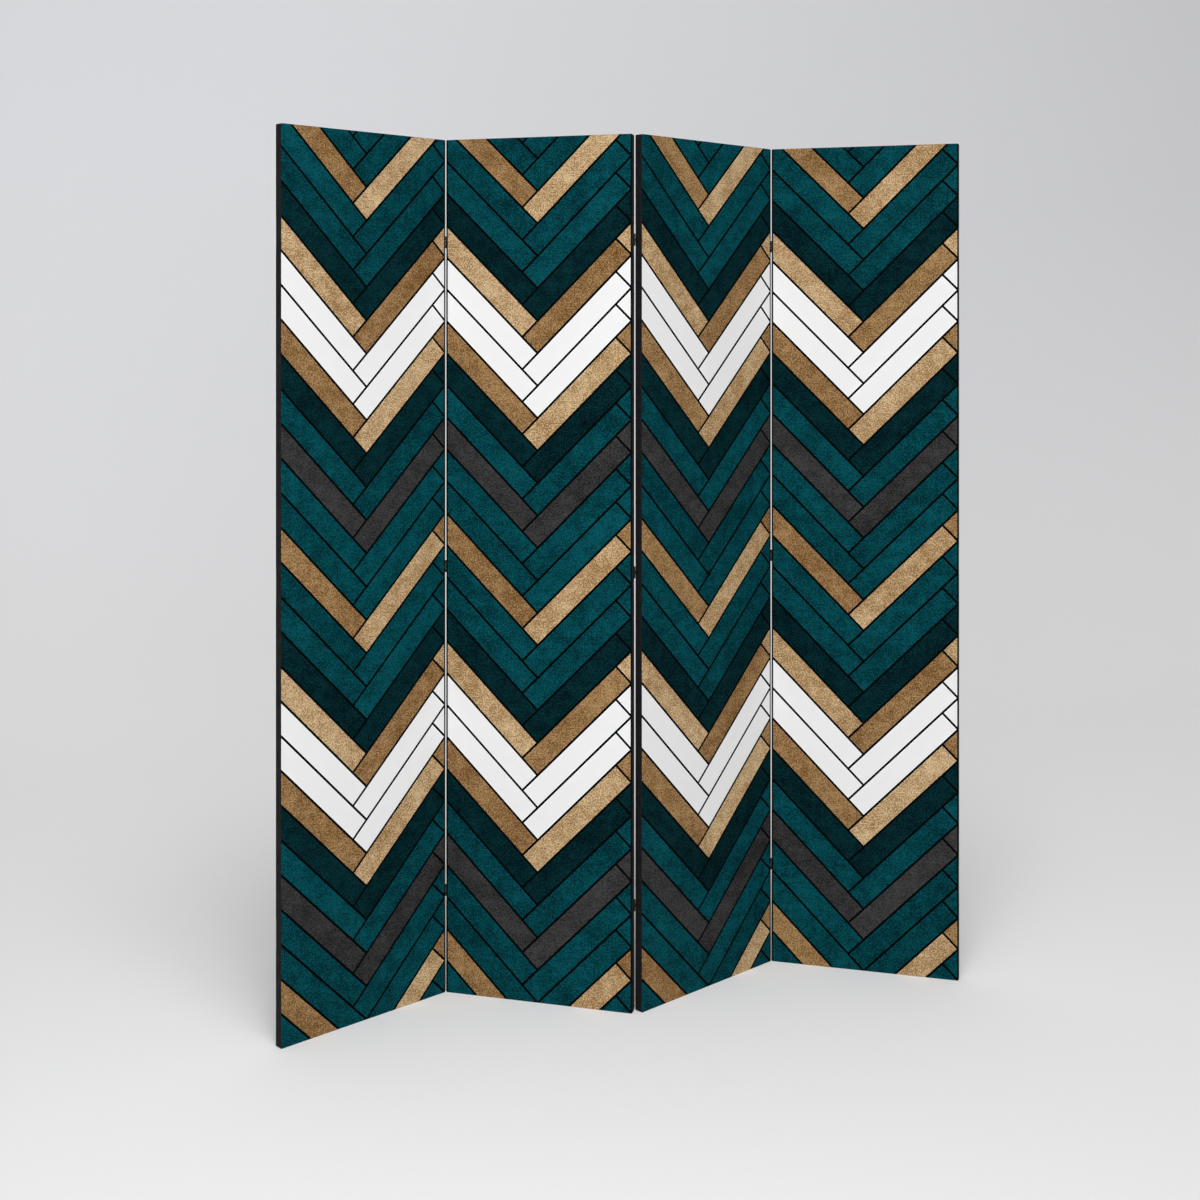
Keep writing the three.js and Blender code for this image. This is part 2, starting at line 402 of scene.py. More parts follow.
# Each row of planks from the floor up, as its rising planks' ink and its falling planks'.
HERRINGBONE_ROWS = (
    (Ink.TEAL, Ink.TEAL),
    (Ink.CHARCOAL, Ink.CHARCOAL),
    (Ink.TEAL, Ink.TEAL),
    (Ink.DEEP_TEAL, Ink.DEEP_TEAL),
    (Ink.LIGHT_TAN, Ink.TAN),
    (Ink.WHITE, Ink.WHITE),
    (Ink.WHITE, Ink.WHITE),
    (Ink.TAN, Ink.LIGHT_TAN),
    (Ink.DEEP_TEAL, Ink.DEEP_TEAL),
    (Ink.TEAL, Ink.TEAL),
    (Ink.TEAL, Ink.TEAL),
    (Ink.LIGHT_TAN, Ink.TAN),
    (Ink.TEAL, Ink.TEAL),
)


@dataclass(frozen=True)
class PrintedCanvas(Finish):
    """Canvas with a printed herringbone of planks that lie at 45 degrees, in rows of inks.

    Attributes:
        planks: how many of a plank's widths its length is.
        seam_line: how far the line beside the seam in a pair of panels reaches on each side.
        pair_line: how wide the line at a pair's right end is.
    """

    label: str = "printed_canvas"
    panel_width: float = 360 * MM
    planks: int = 6
    outline: float = 4.2 * MM
    seam_line: float = 2.6 * MM
    pair_line: float = 2.0 * MM
    black: Rgb = (1, 4, 5)
    usual_tone: float = 0.42
    blotches: Noise = Noise(11.0, 1.0, share=0.6)
    mottle: Noise = Noise(33.0, 3.0, 1.0, share=1.8)
    grain: Noise = Noise(400.0, 3.0, share=3.8)
    plank_tone: float = 0.2
    roughness: float = 0.85
    light_smoother: float = 0.12
    specular: float = 0.03
    weave: Weave = Weave()

    def looks(self, tree: NodeTree) -> Inputs:
        """Makes the print.

        The cloth is cut into square cells along its two diagonals, each as wide as a plank. Cells
        i and j along the diagonals belong to a rising plank where (i - j) modulo twice the planks'
        length is less than that length, and to a falling one elsewhere.

        Args:
            tree: the tree that they are made in.

        Returns:
            What the shader's sockets take.
        """
        across, up = tree.flat_place()
        diagonal, middle = self.panel_width / self.planks, self.panel_width / 2
        rise = (across - middle + up) / diagonal
        fall = (up - across + middle) / diagonal
        i, j = rise.floor(), fall.floor()
        step = (i - j) % (2.0 * self.planks)
        rising = step < self.planks - 0.5
        falling = 1 - rising
        back = falling * (2.0 * self.planks - 1 - step)
        first_i, first_j = i - rising * step, j - back

        along, beside = rise - first_i, fall - first_j
        long, wide = 1 + rising * (self.planks - 1.0), 1 + falling * (self.planks - 1.0)
        inside = along.least(long - along).least(beside.least(wide - beside))
        line = inside * (diagonal / math.sqrt(2)) < self.outline / 2

        count = float(len(HERRINGBONE_ROWS))
        place = ((first_i + first_j - falling) * 0.5 % count + 0.5) / count
        tone = self._tone(tree, tree.point(across, up), tree.point(first_i, first_j, rising))
        dark, light = (
            tree.mix(rising, self._inks(tree, place, 1, end), self._inks(tree, place, 0, end))
            for end in (0, 1)
        )
        black = line.most(self._upright_lines(across))
        return {
            "Base Color": tree.mix(black, tree.mix(tone, dark, light), linear(self.black)),
            "Roughness": self.roughness - tone * self.light_smoother,
            "Specular IOR Level": self.specular,
            "Normal": self.weave.normal(tree, across, up),
        }

    def _upright_lines(self, across: Value) -> Value:
        """The print's upright lines: about the seam in each pair of panels, and at its end.

        Args:
            across: the place across the flat cloth, in metres.

        Returns:
            1 on the lines, and 0 elsewhere.
        """
        pair = 2 * self.panel_width
        place = across % pair
        beside = abs(place - self.panel_width) < self.seam_line
        return beside.most(pair - place < self.pair_line)

    def _tone(
        self, tree: NodeTree, place: bpy.types.NodeSocket, plank: bpy.types.NodeSocket
    ) -> Value:
        """How light the ink is, from 0 to 1: its plank's own tone, with blotches and grain.

        Args:
            tree: the tree that it is made in.
            place: the place on the flat cloth.
            plank: a vector that is the same all over one plank.

        Returns:
            The tone.
        """
        own = tree.node("ShaderNodeTexWhiteNoise", {"noise_dimensions": "3D"}, {"Vector": plank})
        lift = (tree.value(own.outputs["Value"]) - 0.5) * self.plank_tone
        clouds = (self.blotches, self.mottle, self.grain)
        return (tree.clouded(self.usual_tone, place, clouds) + lift).within(0.0, 1.0)

    @staticmethod
    def _inks(tree: NodeTree, place: Value, way: int, end: int) -> bpy.types.NodeSocket:
        """The ink of each row as flat steps along a ramp.

        Args:
            tree: the tree that it is made in.
            place: how far up the rows, from 0 to 1.
            way: 0 for the rising planks and 1 for the falling ones.
            end: 0 for the ink's darkest colour and 1 for its lightest.

        Returns:
            The ink's colour.
        """
        count = len(HERRINGBONE_ROWS)
        stops = [(k / count, linear(row[way].value[end])) for k, row in enumerate(HERRINGBONE_ROWS)]
        settings = {"stops": stops, "between": "CONSTANT"}
        return tree.node("ShaderNodeValToRGB", settings, {"Fac": place}).outputs["Color"]


@dataclass(frozen=True)
class BlackCanvas(Finish):
    """The black canvas of the wrapped edges, rubbed a little paler here and there."""

    label: str = "black_canvas"
    deep: Rgb = (20, 20, 22)
    rubbed: Rgb = (32, 32, 34)
    rubs: Noise = Noise(60.0, 4.0, share=0.6)
    specks: Noise = Noise(700.0, 2.0, share=0.4)
    rub_range: tuple[float, float] = (0.35, 0.65)
    roughness: float = 0.9
    rub_smoother: float = 0.15
    specular: float = 0.12
    weave: Weave = Weave()

    def looks(self, tree: NodeTree) -> Inputs:
        """Makes the black canvas: soft blotches of the paler black, and the weave.

        Args:
            tree: the tree that they are made in.

        Returns:
            What the shader's sockets take.
        """
        across, up = tree.flat_place()
        clouds = tree.clouded(0.5, tree.point(across, up), (self.rubs, self.specks))
        rub = clouds.within(*self.rub_range)
        return {
            "Base Color": tree.mix(rub, linear(self.deep), linear(self.rubbed)),
            "Roughness": self.roughness - rub * self.rub_smoother,
            "Specular IOR Level": self.specular,
            "Normal": self.weave.normal(tree, across, up),
        }


@dataclass(frozen=True)
class Pine(Finish):
    """Planed pine. Its grain runs along one direction, with growth rings that wander.

    Attributes:
        turn: the turn that brings the grain's direction to x.
        drawn: how fast the wander changes along the grain, as a share of across it.
        tones: the dark shares of the rings and of the pores, and what is taken off their sum.
    """

    label: str
    turn: tuple[float, float, float]
    pale: Rgb = (222, 190, 142)
    dark: Rgb = (186, 144, 92)
    ring: float = 6 * MM
    slope: float = 0.6
    wander: float = 20 * MM
    wandering: Noise = Noise(30.0, 3.0)
    drawn: float = 0.06
    pores: Noise = Noise(1500.0, 2.0)
    pore_drawn: float = 0.03
    tones: tuple[float, float, float] = (0.7, 0.5, 0.1)
    roughness: float = 0.62
    dark_rougher: float = 0.12
    relief: float = 0.06 * MM

    def looks(self, tree: NodeTree) -> Inputs:
        """Makes the wood: rings as a wave across the grain, bent by noise, with fine pores.

        Args:
            tree: the tree that they are made in.

        Returns:
            What the shader's sockets take.
        """
        x, y, z = tree.axes(tree.object_place(turn=self.turn))
        wander = tree.noise(tree.point(x * self.drawn, y, z), self.wandering)
        rings = (y + z * self.slope + wander * self.wander).ripple(self.ring)
        pores = tree.noise(tree.point(x * self.pore_drawn, y, z), self.pores)
        ring_share, pore_share, less = self.tones
        share = (rings * ring_share + pores * pore_share - less).within(0.0, 1.0)
        return {
            "Base Color": tree.mix(share, linear(self.pale), linear(self.dark)),
            "Roughness": self.roughness + share * self.dark_rougher,
            "Normal": tree.bump(share, self.relief),
        }


@dataclass(frozen=True)
class Metal(Finish):
    """A metal surface that wears in patches, with fine marks all over.

    Attributes:
        wear_range: the wear's noise where a patch starts, and where it is full.
        drawn: how fast the marks change along each axis, as shares of their scale.
        metallic: how metallic the surface is, and how much more so where it is worn.
        roughness: how rough it is, and how much more so with the wear and with the marks.
        relief: how deep the marks are.
    """

    label: str
    fresh: Rgb
    worn: Rgb
    wear: Noise
    wear_range: tuple[float, float]
    marks: Noise
    drawn: tuple[float, float, float]
    metallic: tuple[float, float]
    roughness: tuple[float, float, float]
    relief: float

    def looks(self, tree: NodeTree) -> Inputs:
        """Makes the metal: patches of wear from one noise, and marks from another as a bump.

        Args:
            tree: the tree that they are made in.

        Returns:
            What the shader's sockets take.
        """
        worn = tree.noise(tree.object_place(), self.wear).within(*self.wear_range)
        marks = tree.noise(tree.object_place(self.drawn), self.marks)
        metal, more_metal = self.metallic
        rough, worn_rougher, marks_rougher = self.roughness
        return {
            "Base Color": tree.mix(worn, linear(self.fresh), linear(self.worn)),
            "Metallic": worn * more_metal + metal if more_metal else metal,
            "Roughness": rough + worn * worn_rougher + marks * marks_rougher,
            "Normal": tree.bump(marks, self.relief),
        }


# Steel under a thin black lacquer with an orange peel, scuffed to a duller grey.
BLACK_LACQUER = Metal(
    "black_lacquer",
    fresh=(24, 23, 22),
    worn=(70, 67, 62),
    wear=Noise(260.0, 5.0, 0.7),
    wear_range=(0.6, 0.72),
    marks=Noise(1800.0, 2.0),
    drawn=(1.0, 1.0, 1.0),
    metallic=(0.0, 0.8),
    roughness=(0.36, 0.2, 0.06),
    relief=0.02 * MM,
)

# Drawn steel wire with marks along its length, stained dark with oil.
PIN_STEEL = Metal(
    "pin_steel",
    fresh=(118, 116, 112),
    worn=(62, 60, 56),
    wear=Noise(300.0, 4.0),
    wear_range=(0.35, 0.65),
    marks=Noise(4000.0, 2.0),
    drawn=(1.0, 1.0, 0.05),
    metallic=(1.0, 0.0),
    roughness=(0.28, 0.1, 0.15),
    relief=0.01 * MM,
)


@dataclass(frozen=True)
class StudioPaperAndPaintedLight(Finish):
    """The pale, even paper of the floor and backdrop, with painted light that makes it a little
    paler high on the left.

    Attributes:
        painted_light: the colour of the painted light, added to the shade where the paper is
            palest.
        left: the x where nothing is added, and the x from which all of it is.
        high: the same for z.
    """

    label: str = "studio_paper_and_painted_light"
    shade: Rgb = (248, 248, 249)
    painted_light: Rgb = (90, 92, 98)
    left: tuple[float, float] = (5.0, -0.4)
    high: tuple[float, float] = (0.2, 1.9)

    def looks(self, tree: NodeTree) -> Inputs:
        """Makes the paper: one colour with no shine, and painted light, a glow that lights nothing.

        Args:
            tree: the tree that they are made in.

        Returns:
            What the shader's sockets take.
        """
        x, _, z = tree.axes(tree.object_place())
        # painted light: a glow, seen only by rays that show the background, that makes the paper
        # paler high on the left
        share = x.within(*self.left) * z.within(*self.high) * tree.seen_ray()
        return {
            "Base Color": linear(self.shade),
            "Roughness": 1.0,
            "Specular IOR Level": 0.0,
            "Emission Color": tree.mix(share, linear((0, 0, 0)), linear(self.painted_light)),
            "Emission Strength": 1.0,
        }


# ------------------------------------------------------------------ surfaces


@dataclass(frozen=True)
class Patch:
    """A grid of points. Its outer side is where its columns' way crosses its rows' way.

    Attributes:
        points: rows by columns by 3, in metres.
        flat: rows by columns by 2, each point's place on the flat cloth, or None.
        finish: which of the piece's finishes it has.
        kept: rows - 1 by columns - 1, which of the cells are there, or None for all.
    """

    points: np.ndarray
    flat: np.ndarray | None = None
    finish: int = 0
    kept: np.ndarray | None = None

    def triangles(self) -> np.ndarray:
        """Two triangles for each cell that is there, as numbers of the grid's points.

        Returns:
            The triangles, rows by 3.
        """
        rows, columns = self.points.shape[:2]
        number = np.arange(rows * columns).reshape(rows, columns)
        a, b, c, d = number[:-1, :-1], number[:-1, 1:], number[1:, 1:], number[1:, :-1]
        pairs = np.stack([a, b, c, a, c, d], axis=-1)
        if self.kept is not None:
            pairs = pairs[self.kept]
        return pairs.reshape(-1, 3)


def sew(
    name: str, patches: Sequence[Patch], finishes: Sequence[Finish], crease: float = 35.0
) -> bpy.types.Object:
    """Joins patches along the points that they share into one mesh.

    Points closer than the smallest gap become one, and a triangle that loses a corner by it is
    left out, which closes poles and seams.

    Args:
        name: the piece's name.
        patches: the grids.
        finishes: the piece's finishes, which the patches number.
        crease: the angle in degrees from which an edge is drawn sharp.

    Returns:
        The piece, with its place in its mesh.
    """
    points = np.concatenate([patch.points.reshape(-1, 3) for patch in patches])
    starts = np.cumsum([0] + [patch.points[..., 0].size for patch in patches[:-1]])
    corners = np.concatenate([patch.triangles() + start for patch, start in zip(patches, starts)])
    worn = np.concatenate([np.full(len(patch.triangles()), patch.finish) for patch in patches])

    keys = np.round(points / SMALLEST_GAP).astype(np.int64)
    _, first, joined = np.unique(keys, axis=0, return_index=True, return_inverse=True)
    faces = joined.reshape(-1)[corners]
    whole = (faces != np.roll(faces, 1, axis=1)).all(axis=1)

    mesh = bpy.data.meshes.new(name)
    mesh.from_pydata(points[first].tolist(), [], faces[whole].tolist())
    mesh.polygons.foreach_set("material_index", worn[whole].astype(np.int32))
    if all(patch.flat is not None for patch in patches):
        flat = np.concatenate([patch.flat.reshape(-1, 2) for patch in patches])
        layer = mesh.uv_layers.new(name=FLAT_MAP)
        layer.data.foreach_set("uv", flat[corners[whole]].astype(np.float32).ravel())
    for finish in finishes:
        mesh.materials.append(finish.material())
    mesh.shade_smooth()
    mesh.set_sharp_from_angle(angle=math.radians(crease))
    mesh.validate()
    piece = bpy.data.objects.new(name, mesh)
    bpy.context.scene.collection.objects.link(piece)
    return piece


def thicken(piece: bpy.types.Object, thickness: float, offset: float) -> None:
    """Gives a surface its thickness.

    Args:
        piece: the surface.
        thickness: how thick it becomes, in metres.
        offset: -1 to grow inwards and 0 to grow to both sides.
    """
    solidify = piece.modifiers.new("thickness", "SOLIDIFY")
    solidify.thickness = thickness
    solidify.offset = offset
    solidify.use_even_offset = True


def dress(node: str, finish: Finish) -> None:
    """Gives all the faces of a CAD node a finish."""
    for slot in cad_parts[node].material_slots:
        slot.material = finish.material()


def to_disc(a: np.ndarray, b: np.ndarray) -> np.ndarray:
    """What takes points of a square to a disc, as a number that they are multiplied by.

    It is the greater of |a| and |b| over their hypotenuse.

    Args:
        a: how far the points are from the middle one way.
        b: how far they are the other way.

    Returns:
        The number for each point, which is 0 in the middle.
    """
    apart = np.hypot(a, b)
    return np.maximum(np.abs(a), np.abs(b)) / np.where(apart > 0, apart, 1.0)


@dataclass(frozen=True)
class Standing:
    """Where a panel stands: the middle of its width and depth, and its turn about Z."""

    x: float
    y: float
    turn: float

    def world(self, points: np.ndarray) -> np.ndarray:
        """Points given about the panel's middle line, turned and moved into the screen.

        x' = x cos t - y sin t and y' = x sin t + y cos t, about the middle.

        Args:
            points: any array of points.

        Returns:
            The same array of points in the screen's own frame.
        """
        c, s = math.cos(self.turn), math.sin(self.turn)
        x, y, z = np.moveaxis(points, -1, 0)
        return np.stack([self.x + x * c - y * s, self.y + x * s + y * c, z], axis=-1)


# ------------------------------------------------------------------ panels


class Side(Enum):
    """A panel's two faces, each with the sign that x and y take in the turn to it."""

    FRONT = 1
    BACK = -1


@dataclass(frozen=True)
class StretchedCloth:
    """A rectangular cloth pulled over an edge: a face, rounded corners and edges, and a wrap.

    Attributes:
        edge: the radius that the cloth turns over at the face's edges, and in behind.
        depth: how far the wrap goes back.
        slack: how far the face sinks in each of its windows, which lie one above another.
        corner: the radius of the outline's corners.
        hem: how far the cloth is turned in behind, with a welt at its edge, or 0 for none.
        swell: how far the cloth's sides stand out, and held_swell how far beside a hinge.
        hinges: the hinges' heights from the cloth's middle.
    """

    width: float
    height: float
    edge: float
    depth: float
    slack: float
    windows: int = 3
    corner: float = 1.8 * MM
    hem: float = 0.0
    swell: float = 0.45 * MM
    held_swell: float = 0.2 * MM
    hinges: tuple[float, ...] = ()
    hinge_reach: float = 18 * MM
    welt: float = 0.45 * MM
    welt_width: float = 4 * MM
    across_cells: int = 24
    up_cells: int = 120
    turn_steps: int = 5
    side_steps: int = 4
    hem_steps: int = 3

    def face(self) -> np.ndarray:
        """The flat part inside the rounded corners, which sinks a little in its windows.

        The depth is the slack times (1 - a squared), for a from -1 to 1 across, times the size of
        the sine of as many half turns up the height as there are windows.

        Returns:
            The points, rows by columns by 3.
        """
        half, tall = self._inner()
        x, z = np.meshgrid(*self._grid())
        turns = self.windows * math.pi / 2 * (z / tall + 1)
        sink = self.slack * (1 - (x / half) ** 2) * np.abs(np.sin(turns))
        return np.stack([x, sink, z], axis=-1)

    def _inner(self) -> tuple[float, float]:
        """Half the width and half the height of the face inside the rounded corners."""
        return self.width / 2 - self.corner, self.height / 2 - self.corner

    def _grid(self) -> tuple[np.ndarray, np.ndarray]:
        """Where the face's columns and rows are, from its middle.

        Returns:
            The columns' places across, and the rows' places up.
        """
        half, tall = self._inner()
        across = np.linspace(-half, half, self.across_cells + 1)
        return across, np.linspace(-tall, tall, self.up_cells + 1)

    def outline(self) -> tuple[np.ndarray, np.ndarray]:
        """The way round the face, clockwise from the front, with the direction outwards.

        The four straight sides take the face's own grid points, and each corner turns a quarter.

        Returns:
            The points as columns by 2, across and up, and as many unit directions.
        """
        half, tall = self._inner()
        across, up = self._grid()
        sides = [
            np.stack([across[::-1], np.full_like(across, -tall)], -1),
            np.stack([np.full_like(up, -half), up], -1),
            np.stack([across, np.full_like(across, tall)], -1),
            np.stack([np.full_like(up, half), up[::-1]], -1),
        ]
        points, ways = [], []
        for quarter, side in enumerate(sides):
            start = -math.pi / 2 * (quarter + 1)
            straight = np.array([math.cos(start), math.sin(start)])
            turns = start - np.linspace(0, math.pi / 2, self.turn_steps + 1)[1:-1]
            points += [side, np.repeat(side[-1:], len(turns), axis=0)]
            turned = np.stack([np.cos(turns), np.sin(turns)], -1)
            ways += [np.repeat(straight[None], len(side), axis=0), turned]
        points.append(points[0][:1])
        ways.append(ways[0][:1])
        return np.concatenate(points), np.concatenate(ways)

    def profile(self) -> tuple[np.ndarray, np.ndarray]:
        """The section across an edge: a quarter turn, and where there is a hem, a side and the hem.

        The hem's welt falls off by the square of the way in from the edge.

        Returns:
            How far out of the inner face each point is, which is less than 0 on the hem, and how
            far back.
        """
        r, e = self.corner, self.edge
        turn = np.linspace(0, math.pi / 2, self.turn_steps + 1)
        out = [np.array([0.0]), r - e + e * np.sin(turn)]
        back = [np.array([0.0]), e - e * np.cos(turn)]
        if self.hem:
            deep, inner = self.depth + self.welt, r - self.welt_width
            side = np.linspace(e, deep - e, self.side_steps + 1)[1:-1]
            folded = np.linspace(r - e, inner, self.hem_steps + 1)[1:]
            flat = np.linspace(inner, r - self.hem, self.hem_steps + 1)[1:]
            hem = np.concatenate([folded, flat])
            rise = self.welt * np.clip((hem - inner) / (r - e - inner), 0, 1) ** 2
            out += [np.full_like(side, r), r - e + e * np.cos(turn), hem]
            back += [side, deep - e + e * np.sin(turn), self.depth + rise]
        return np.concatenate(out), np.concatenate(back)

    def wrap(self) -> tuple[np.ndarray, np.ndarray]:
        """The cloth round the face's four edges.

        A point is the outline's point plus its direction times how far out the profile is. On the
        hem the outline shrinks instead, so that its corners are mitred.

        Returns:
            The points, rows by columns by 3, and their places on the flat cloth.
        """
        half, tall = self._inner()
        inner, way = self.outline()
        out, back = self.profile()
        run = np.concatenate([[0.0], np.cumsum(np.hypot(np.diff(out), np.diff(back)))])
        beyond = np.maximum(out, 0.0)[:, None, None]
        shrink = 1 + np.minimum(out, 0.0)[:, None, None] / np.array([half, tall])
        spread = inner[None] * shrink + way[None] * beyond
        depth = np.broadcast_to(back[:, None], spread.shape[:2])
        sideways = self._swelling(inner[:, 1]) * way[:, 0]
        swollen = np.clip(out / self.corner, 0, 1)[:, None] * sideways
        points = np.stack([spread[..., 0] + swollen, depth, spread[..., 1]], axis=-1)
        return points, inner[None] + way[None] * run[:, None, None]

    def _swelling(self, up: np.ndarray) -> np.ndarray:
        """The swelling of the cloth's sides, which is least beside the hinges.

        Args:
            up: the heights, from the cloth's middle.

        Returns:
            How far they stand out at each.
        """
        if not self.hinges:
            return np.zeros_like(up)
        apart = np.abs(up[:, None] - np.array(self.hinges)).min(axis=1)
        free = np.clip(apart / self.hinge_reach - 1, 0, 1)
        return self.held_swell + (self.swell - self.held_swell) * free


@dataclass
class Panel:
    """One panel: a wooden frame, the canvas stretched over it, and a canvas on its back.

    Attributes:
        number: 1 to 4, from the left.
        turn: its turn about Z, in radians.
        count: how many panels the screen has.
        back_inset: how far the back canvas is trimmed at each edge.
        front_printed: how many rows of the front canvas's wrap are printed.
    """

    number: int
    turn: float
    count: int = 4
    canvas: float = 0.4 * MM
    seat: float = 0.25 * MM
    hem: float = 25 * MM
    back_inset: float = 4 * MM
    edge: float = 0.45 * MM
    slack: float = 0.25 * MM
    back_slack: float = 0.15 * MM
    front_printed: int = 3
    back_printed: int = 4

    def __post_init__(self) -> None:
        """Reads the panel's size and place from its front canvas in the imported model.

        A turned rectangle of width W and depth D has a box of W c + D s by W s + D c, which is
        solved for W and D.
        """
        low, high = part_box(f"panel_{self.number}_canvas_front")
        c, s = math.cos(self.turn), abs(math.sin(self.turn))
        across, deep = high.x - low.x, high.y - low.y
        self.width = (across * c - deep * s) / (c * c - s * s)
        self.wrap_depth = (deep * c - across * s) / (c * c - s * s)
        self.height = high.z - low.z
        self.place = Standing((low.x + high.x) / 2, (low.y + high.y) / 2, self.turn)
        pins = (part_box(f"hinge_12_{place}_pin") for place in HINGE_PLACES)
        self.hinges = tuple((bottom.z + top.z - self.height) / 2 for bottom, top in pins)

    @property
    def body(self) -> str:
        """The CAD body that the panel's pieces ride on."""
        return f"panel_{self.number}"

    def build(self) -> None:
        """Makes and dresses all of the panel."""
        self._front_canvas()
        self._back_canvas()
        self._frame()

    def _settled(
        self, points: np.ndarray, flat: np.ndarray, side: Side
    ) -> tuple[np.ndarray, np.ndarray]:
        """Turns a cloth's own points and flat places into the screen's.

        Args:
            points: across, back and up from the middle of the cloth's face.
            flat: places on the flat cloth, from the middle of its face.
            side: the face that the cloth is on.

        Returns:
            The points in the screen, and the flat places along the whole screen.
        """
        x, y, z = np.moveaxis(points, -1, 0)
        sign = side.value
        depth = sign * (y - self.wrap_depth / 2)
        if side is Side.BACK:
            depth = depth + self.canvas + self.seat
        placed = np.stack([sign * x, depth, z + self.height / 2], axis=-1)
        order = self.number if side is Side.FRONT else self.count + 1 - self.number
        shift = np.array([(order - 0.5) * self.width, self.height / 2])
        return self.place.world(placed), flat + shift

    def _cloth(
        self, name: str, shape: StretchedCloth, side: Side, printed: int
    ) -> bpy.types.Object:
        """Makes a stretched cloth, printed on its face and black where it wraps.

        Args:
            name: the piece's name.
            shape: the cloth's form.
            side: the face that it is on.
            printed: how many of the wrap's rows the print reaches.

        Returns:
            The piece.
        """
        face = shape.face()
        points, flat = self._settled(face, face[..., [0, 2]], side)
        ring, ring_flat = self._settled(*shape.wrap(), side)
        patches = [
            Patch(points, flat),
            Patch(ring[: printed + 1], ring_flat[: printed + 1]),
            Patch(ring[printed:], ring_flat[printed:], finish=1),
        ]
        piece = sew(name, patches, [PrintedCanvas(), BlackCanvas()])
        thicken(piece, self.canvas, -1.0)
        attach(piece, self.body)
        return piece

    def _front_canvas(self) -> None:
        """The front canvas, wrapped round the frame's edges and turned in behind."""
        shape = StretchedCloth(
            self.width,
            self.height,
            edge=self.edge,
            depth=self.wrap_depth,
            slack=self.slack,
            hem=self.hem,
            hinges=self.hinges,
            welt_width=self.back_inset,
        )
        name = f"{self.body}_front_canvas"
        piece = self._cloth(name, shape, Side.FRONT, self.front_printed)
        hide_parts(f"{self.body}_canvas_front")
        LOG.info("%s: %.0f by %.0f mm", name, self.width / MM, self.height / MM)

    def _back_canvas(self) -> None:
        """The back canvas, a flat sheet a little smaller than the panel."""
        trimmed = 2 * self.back_inset
        shape = StretchedCloth(
            self.width - trimmed,
            self.height - trimmed,
            edge=self.canvas,
            depth=self.canvas,
            slack=self.back_slack,
        )
        name = f"{self.body}_back_canvas"
        piece = self._cloth(name, shape, Side.BACK, self.back_printed)
        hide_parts(f"{self.body}_canvas_back")

    def _frame(self) -> None:
        """Dresses the frame's bars, with the grain along each."""
        upright = Pine("pine_upright", (0.0, math.pi / 2, 0.0))
        way = "left" if self.turn < 0 else "right"
        level = Pine(f"pine_level_{way}", (0.0, 0.0, -self.turn))
        for bar in ("stile_left", "stile_right"):
            dress(f"{self.body}_{bar}", upright)
        for bar in ("rail_bottom", "rail_inner_1", "rail_inner_2", "rail_top"):
            dress(f"{self.body}_{bar}", level)
        LOG.info("%s: frame of two stiles and four rails", self.body)


# ------------------------------------------------------------------ hinges


class Leaf(Enum):
    """A hinge's leaves by number: the left panel's, with the outer knuckles, and the other."""

    OUTER = 1
    MIDDLE = 2


@dataclass(frozen=True)
class Screw:
    """A wood screw with a low domed head and a cross recess, along +x from its head's seat.

    Attributes:
        arm: how far each arm of the recess reaches from the middle.
        arm_slope: the share of an arm's half width over which its side slopes.
        arm_rise: the share of its length over which its floor rises.
    """

    head_radius: float = 2.2 * MM
    head_height: float = 0.4 * MM
    rim: float = 0.06 * MM
    shank_radius: float = 1.25 * MM
    length: float = 12 * MM
    point: float = 2.5 * MM
    arm: float = 1.15 * MM
    arm_width: float = 0.26 * MM
    arm_slope: float = 0.3
    arm_rise: float = 0.5
    recess: float = 0.25 * MM
    cells: int = 24

    def head(self) -> np.ndarray:
        """The head's top as a square grid drawn onto a disc.

        The dome falls by the cube of the radius, and the recess sinks where a point is in an arm
        of the cross, deeper towards the middle.

        Returns:
            The points, rows by columns by 3.
        """
        side = np.linspace(-1, 1, self.cells + 1)
        a, b = np.meshgrid(side, side)
        pull = to_disc(a, b)
        y, z = a * pull * self.head_radius, b * pull * self.head_radius
        radius = np.hypot(y, z)
        dome = self.rim + (self.head_height - self.rim) * (1 - (radius / self.head_radius) ** 3)
        near, far = np.minimum(np.abs(y), np.abs(z)), np.maximum(np.abs(y), np.abs(z))
        across = np.clip((self.arm_width - near) / (self.arm_slope * self.arm_width), 0, 1)
        along = np.clip((self.arm - far) / (self.arm_rise * self.arm), 0, 1)
        height = dome - self.recess * across * along
        return np.stack([-height, y, z], axis=-1)

    def body(self, head: np.ndarray) -> np.ndarray:
        """The rim, the underside and the pointed shank, turned about the screw's axis.

        The columns follow the head's own rim. Each row is the rim's direction times a radius, at a
        place along the axis.

        Args:
            head: the head's grid.

        Returns:
            The points.
        """
        rim = np.concatenate([head[0, :-1], head[:-1, -1], head[-1, :0:-1], head[::-1, 0]])
        way = rim[:, 1:] / self.head_radius
        wide, thin = self.head_radius, self.shank_radius
        radii = np.array([wide, wide, thin, thin, 0.0])
        along = np.array([-self.rim, 0.0, 0.0, self.length - self.point, self.length])
        x = np.broadcast_to(along[:, None], (len(along), len(way)))
        spread = radii[:, None, None] * way[None]
        return np.concatenate([x[..., None], spread], axis=-1)

    def patches(self, at: Sequence[float]) -> list[np.ndarray]:
        """The head and the body, with the head's seat at a point."""
        head = self.head()
        return [head[:, ::-1] + np.array(at), self.body(head) + np.array(at)]


